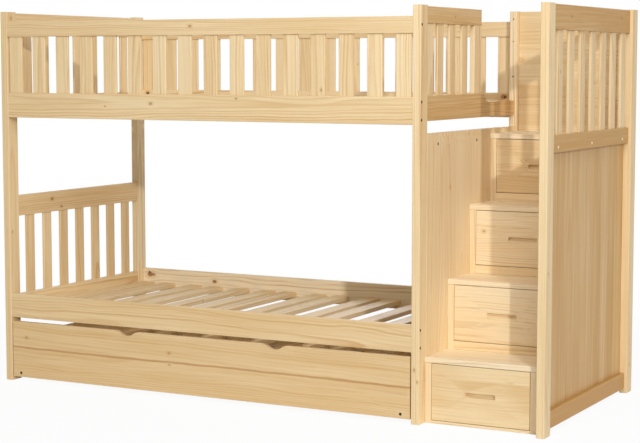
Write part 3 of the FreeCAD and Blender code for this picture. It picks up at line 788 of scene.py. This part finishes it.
# %% [markdown]
# ## Metal and wheels
# The casters are pressed from zinc-plated sheet and roll on plastic wheels, and the bolts are of
# dark steel. Even colours would look like paint. Real metal shows faint clouds and small
# scratches, which two noises in the colour and the roughness give.

# %% Zinc, plastic and dark steel
SCRATCH_FINENESS = 14.0      # how much finer the scratches are than the clouds
SCRATCH_RELIEF = 0.0001


def hard_finish(name, dark, light, metallic, roughness, waves):
    """A finish whose colour and roughness wander a little between two values, with so many waves
    for each metre."""
    material, start, shader = new_material(name)
    place = start.node("ShaderNodeTexCoord", out=3)
    cloud = noise(place, waves, 3.0)
    scratch = noise(place, waves * SCRATCH_FINENESS, 2.0, 0.7)
    colour = mix_colour(cloud.between(0.25, 0.75), dark, light)
    uneven = (cloud - 0.5) * 0.12 + (scratch - 0.5) * 0.18 + roughness
    bump = start.node("ShaderNodeBump", None,
                      {"Strength": 0.2, "Distance": SCRATCH_RELIEF, "Height": scratch})
    finish_material(material, shader, colour, uneven, bump)
    shader.inputs["Metallic"].default_value = metallic
    return material


ZINC = hard_finish("zinc_plate", (0.34, 0.33, 0.31, 1), (0.52, 0.51, 0.48, 1),
                   metallic=1.0, roughness=0.42, waves=90.0)
WHEEL_PLASTIC = hard_finish("wheel_plastic", (0.035, 0.035, 0.038, 1), (0.06, 0.06, 0.062, 1),
                            metallic=0.0, roughness=0.5, waves=60.0)
DARK_STEEL = hard_finish("dark_bolt", (0.055, 0.034, 0.020, 1), (0.100, 0.066, 0.042, 1),
                         metallic=1.0, roughness=0.45, waves=200.0)
print("finishes:", ZINC.name, WHEEL_PLASTIC.name, DARK_STEEL.name)

# %% Dress the casters
METAL_ROUNDING = 0.0003
CASTER_FINISH = {"caster_brackets": ZINC, "caster_axles": ZINC,
                 "trundle_wheels_front": WHEEL_PLASTIC, "trundle_wheels_back": WHEEL_PLASTIC}
for node, material in CASTER_FINISH.items():
    mesh = board_mesh(node + "_shown", node)
    piece = place_piece(node + "_shown", mesh, node, material)
    round_edges(piece, METAL_ROUNDING)
print("casters:", len(CASTER_FINISH), "nodes dressed")


# %% [markdown]
# ## Bolts with sockets
# A furniture bolt has a flat head with a six-sided socket. It could be cut with a boolean, but a
# profile carried once round the bolt's axis gives clean faces. Only the socket's wall isn't
# round, so its radius follows a hexagon.

# %% The surface of a bolt
HEAD_RADIUS = 0.006
HEAD_THICKNESS = 0.003
HEAD_RIM = 0.0004            # how far the head's rim is rounded
SOCKET_RADIUS = 0.0027       # from the axis to the middle of a flat
SOCKET_DEPTH = 0.0022
SHANK_RADIUS = 0.003
NEARLY_CLOSED = 0.02         # share of the radius at which one face closes an end
TURN_STEPS = 48


def bolt_points(tip, way, length):
    """Points of a bolt on a grid: one row for each corner of its profile, one column for each turn
    step. A row's radius is constant, except where it follows the hexagon:
    radius = flat / cos(angle from the nearest flat's middle)."""
    turn = np.linspace(0, 2 * math.pi, TURN_STEPS, endpoint=False)
    from_flat = (turn + math.pi / 6) % (math.pi / 3) - math.pi / 6
    hexagon = SOCKET_RADIUS / np.cos(from_flat)
    rows = [(hexagon * NEARLY_CLOSED, SOCKET_DEPTH), (hexagon, SOCKET_DEPTH),
            (hexagon, HEAD_RIM / 2), (hexagon + HEAD_RIM / 2, 0.0),
            (HEAD_RADIUS - HEAD_RIM, 0.0), (HEAD_RADIUS, HEAD_RIM),
            (HEAD_RADIUS, HEAD_THICKNESS), (SHANK_RADIUS, HEAD_THICKNESS),
            (SHANK_RADIUS, length), (SHANK_RADIUS * NEARLY_CLOSED, length)]
    side = np.roll(way, 1)
    other = np.cross(way, side)
    radius = np.stack([np.broadcast_to(radius, turn.shape) for radius, _ in rows])
    down = np.array([depth for _, depth in rows])[:, None]
    circle = np.cos(turn)[:, None] * side + np.sin(turn)[:, None] * other
    return tip + down[:, :, None] * way + radius[:, :, None] * circle[None]


def grid_faces(rows, columns, first):
    """Quads between neighbouring points of a grid that closes on itself round its columns, and
    one face over the open middle at each end."""
    row, column = np.meshgrid(np.arange(rows - 1), np.arange(columns), indexing="ij")
    after = (column + 1) % columns
    quads = np.stack([row * columns + column, (row + 1) * columns + column,
                      (row + 1) * columns + after, row * columns + after], axis=-1)
    ring = np.arange(columns)
    lids = [(first + ring).tolist(), (first + (rows - 1) * columns + ring[::-1]).tolist()]
    return (first + quads.reshape(-1, 4)).tolist() + lids


one_bolt = bolt_points(np.zeros(3), np.array([0.0, 0.0, 1.0]), 0.05)
print("bolt:", one_bolt.shape[0], "rows of", one_bolt.shape[1], "points")

# %% Turn the bolts
SHORTEST_BOLT = 0.02
IN_HEAD = 1.5 * SHANK_RADIUS      # points further from the axis than this belong to the head


def turned_bolt(plain):
    """The grid of a bolt in place of a plain one. The bolt's axis is its longest side, and its
    head is at the end with the points furthest from the axis."""
    low, high = plain.min(0), plain.max(0)
    middle = (low + high) / 2
    axis = int(np.argmax(high - low))
    length = (high - low)[axis]
    reach = np.linalg.norm(np.delete(plain - middle, axis, axis=1), axis=1)
    head_low = plain[reach > IN_HEAD][:, axis].mean() < middle[axis]
    way = np.zeros(3)
    way[axis] = 1 if head_low else -1
    return bolt_points(middle - way * length / 2, way, length)


def turned_bolts(node):
    """Replaces the plain bolts of a node by turned ones. What is shorter than a bolt is a nut,
    kept as it is. Returns the number of solids."""
    points, triangles = welded_triangles(node)
    labels = solid_labels(triangles)
    shown, faces, count = [], [], 0
    for label in range(labels.max() + 1):
        kept, index = np.unique(triangles[labels == label], return_inverse=True)
        own = points[kept]
        if np.ptp(own, axis=0).max() > SHORTEST_BOLT:
            grid = turned_bolt(own)
            faces += grid_faces(len(grid), TURN_STEPS, count)
            own = grid.reshape(-1, 3)
        else:
            faces += (index.reshape(-1, 3) + count).tolist()
        shown.append(own)
        count += len(own)
    mesh = bpy.data.meshes.new(node + "_turned")
    mesh.from_pydata(np.concatenate(shown).tolist(), [], faces)
    work = bmesh.new()
    work.from_mesh(mesh)
    bmesh.ops.recalc_face_normals(work, faces=work.faces)
    work.to_mesh(mesh)
    work.free()
    place_piece(node + "_turned", mesh, node, DARK_STEEL)
    return labels.max() + 1


for node in ("frame_bolts", "trundle_bolts"):
    print(node, turned_bolts(node), "solids")


# %% [markdown]
# ## Floor, light and camera
# The picture has a white background and crisp shadows from a low light in front, to the right. An
# image of a room could light the bed, but then no face could be changed alone. Here a sun with a
# small angle gives the crisp shadows, warm light from all sides fills the shade, a large soft
# lamp hangs above the front, and a weaker one behind keeps the back from going dark. The camera
# sees the world and the far floor as white, while near the bed the floor keeps a soft shadow.

# %% Tell the rays apart
DIRECT_RAYS = ("Is Camera Ray", "Is Glossy Ray", "Is Transmission Ray")
WHITE = (1.0, 1.0, 1.0, 1)


def seen_directly(start):
    """1 for rays that end in the picture directly, by a gloss or through glass, and else 0."""
    paths = start.node("ShaderNodeLightPath").socket.node
    found = [Wire(start.tree, paths.outputs[ray]) for ray in DIRECT_RAYS]
    return found[0].math("MAXIMUM", found[0], found[1].math("MAXIMUM", found[1], found[2]))


# %% The floor
FLOOR_HALF = 60.0
FLOOR_COLOUR = (0.90, 0.90, 0.89, 1)
NEAR_WHITE = 0.94            # share of plain white near the bed, where a shadow still shows
WHITENS = (1.6, 4.5)         # how far from the bed's middle it starts to grow and is whole
floor_material, floor_start, floor_shader = new_material("pale_floor")
floor_tree = floor_material.node_tree
floor_tree.nodes.remove(floor_shader)
matt = floor_start.node("ShaderNodeBsdfDiffuse", None, {"Color": FLOOR_COLOUR})
glow = floor_start.node("ShaderNodeEmission", None, {"Color": WHITE, "Strength": 1.0})
floor_place = floor_start.node("ShaderNodeTexCoord", out=3)
far = floor_start.node("ShaderNodeVectorMath", {"operation": "LENGTH"}, {0: floor_place}, out=1)
whiteness = seen_directly(floor_start) * (far.between(*WHITENS) * (1 - NEAR_WHITE) + NEAR_WHITE)
both = floor_start.node("ShaderNodeMixShader", None, {0: whiteness, 1: matt, 2: glow})
floor_tree.links.new(both.socket, floor_tree.nodes["Material Output"].inputs["Surface"])
floor_mesh = bpy.data.meshes.new("floor")
square = np.array([(-1, -1, 0), (1, -1, 0), (1, 1, 0), (-1, 1, 0)]) * FLOOR_HALF
floor_mesh.from_pydata(square.tolist(), [], [(0, 1, 2, 3)])
floor_mesh.materials.append(floor_material)
floor = bpy.data.objects.new("floor", floor_mesh)
bpy.context.scene.collection.objects.link(floor)
print("floor:", 2 * FLOOR_HALF, "m wide")

# %% Light from all sides
FILL = 0.30                  # light from all sides, where 1 would show white as white
FILL_COLOUR = (1.0, 0.93, 0.80, 1)    # warm, as from a floor and walls of pale wood
world = bpy.data.worlds.new("studio")
world.use_nodes = True
bpy.context.scene.world = world
world_start = Wire(world.node_tree)
background = world.node_tree.nodes["Background"]
direct = seen_directly(world_start)
strength = direct * (1 - FILL) + FILL
world_colour = mix_colour(direct, FILL_COLOUR, WHITE)
world.node_tree.links.new(strength.socket, background.inputs["Strength"])
world.node_tree.links.new(world_colour.socket, background.inputs["Color"])
print("fill:", FILL, "of white")

# %% Sun and soft lamps
SUN_STRENGTH = 1.30
SUN_TRAVEL = (-0.80, 1.0, -0.37)      # the way its light goes: left, back and down
SUN_ANGLE = math.radians(1.6)
LAMP_POWER = 100.0
LAMP_COLOUR = (0.86, 0.90, 1.0)       # a little cool, against the warm fill


def face_along(thing, way):
    """Turns a light or the camera to look a way, and puts it into the scene."""
    thing.rotation_mode = "QUATERNION"
    thing.rotation_quaternion = Vector(way).to_track_quat("-Z", "Y")
    bpy.context.scene.collection.objects.link(thing)


def soft_light(name, place, target, size, power):
    """A square cloth-covered lamp that faces a target and isn't seen itself."""
    data = bpy.data.lights.new(name, "AREA")
    data.size = size
    data.energy = power
    data.color = LAMP_COLOUR
    lamp = bpy.data.objects.new(name, data)
    lamp.location = place
    lamp.visible_camera = False
    face_along(lamp, Vector(target) - Vector(place))


sun_data = bpy.data.lights.new("sun", "SUN")
sun_data.energy = SUN_STRENGTH
sun_data.angle = SUN_ANGLE
face_along(bpy.data.objects.new("sun", sun_data), SUN_TRAVEL)
soft_light("soft_lamp", place=(2.1, -2.7, 3.8), target=(1.0, 0.0, 0.6), size=2.2,
           power=LAMP_POWER)
soft_light("back_lamp", place=(-0.8, 4.4, 2.4), target=(0.0, 0.5, 0.8), size=2.4,
           power=LAMP_POWER * 0.5)
print("lights:", sorted(light.name for light in bpy.data.lights))

# %% Camera
SENSOR_WIDTH = 36.0
PICTURE_WIDTH = 640
FOCAL_PIXELS = 1672.8        # the lens's focal length, in pixels of the picture
CAMERA_PLACE = (3.4546, -6.4012, 1.4124)
CAMERA_FORWARD = (-0.46932, 0.87798, -0.09429)
camera_data = bpy.data.cameras.new("camera")
camera_data.sensor_width = SENSOR_WIDTH
camera_data.lens = FOCAL_PIXELS * SENSOR_WIDTH / PICTURE_WIDTH
camera = bpy.data.objects.new("camera", camera_data)
camera.location = CAMERA_PLACE
face_along(camera, CAMERA_FORWARD)
bpy.context.scene.camera = camera
bpy.context.scene.view_settings.view_transform = "Standard"
print("camera: lens", round(camera_data.lens, 1), "mm")
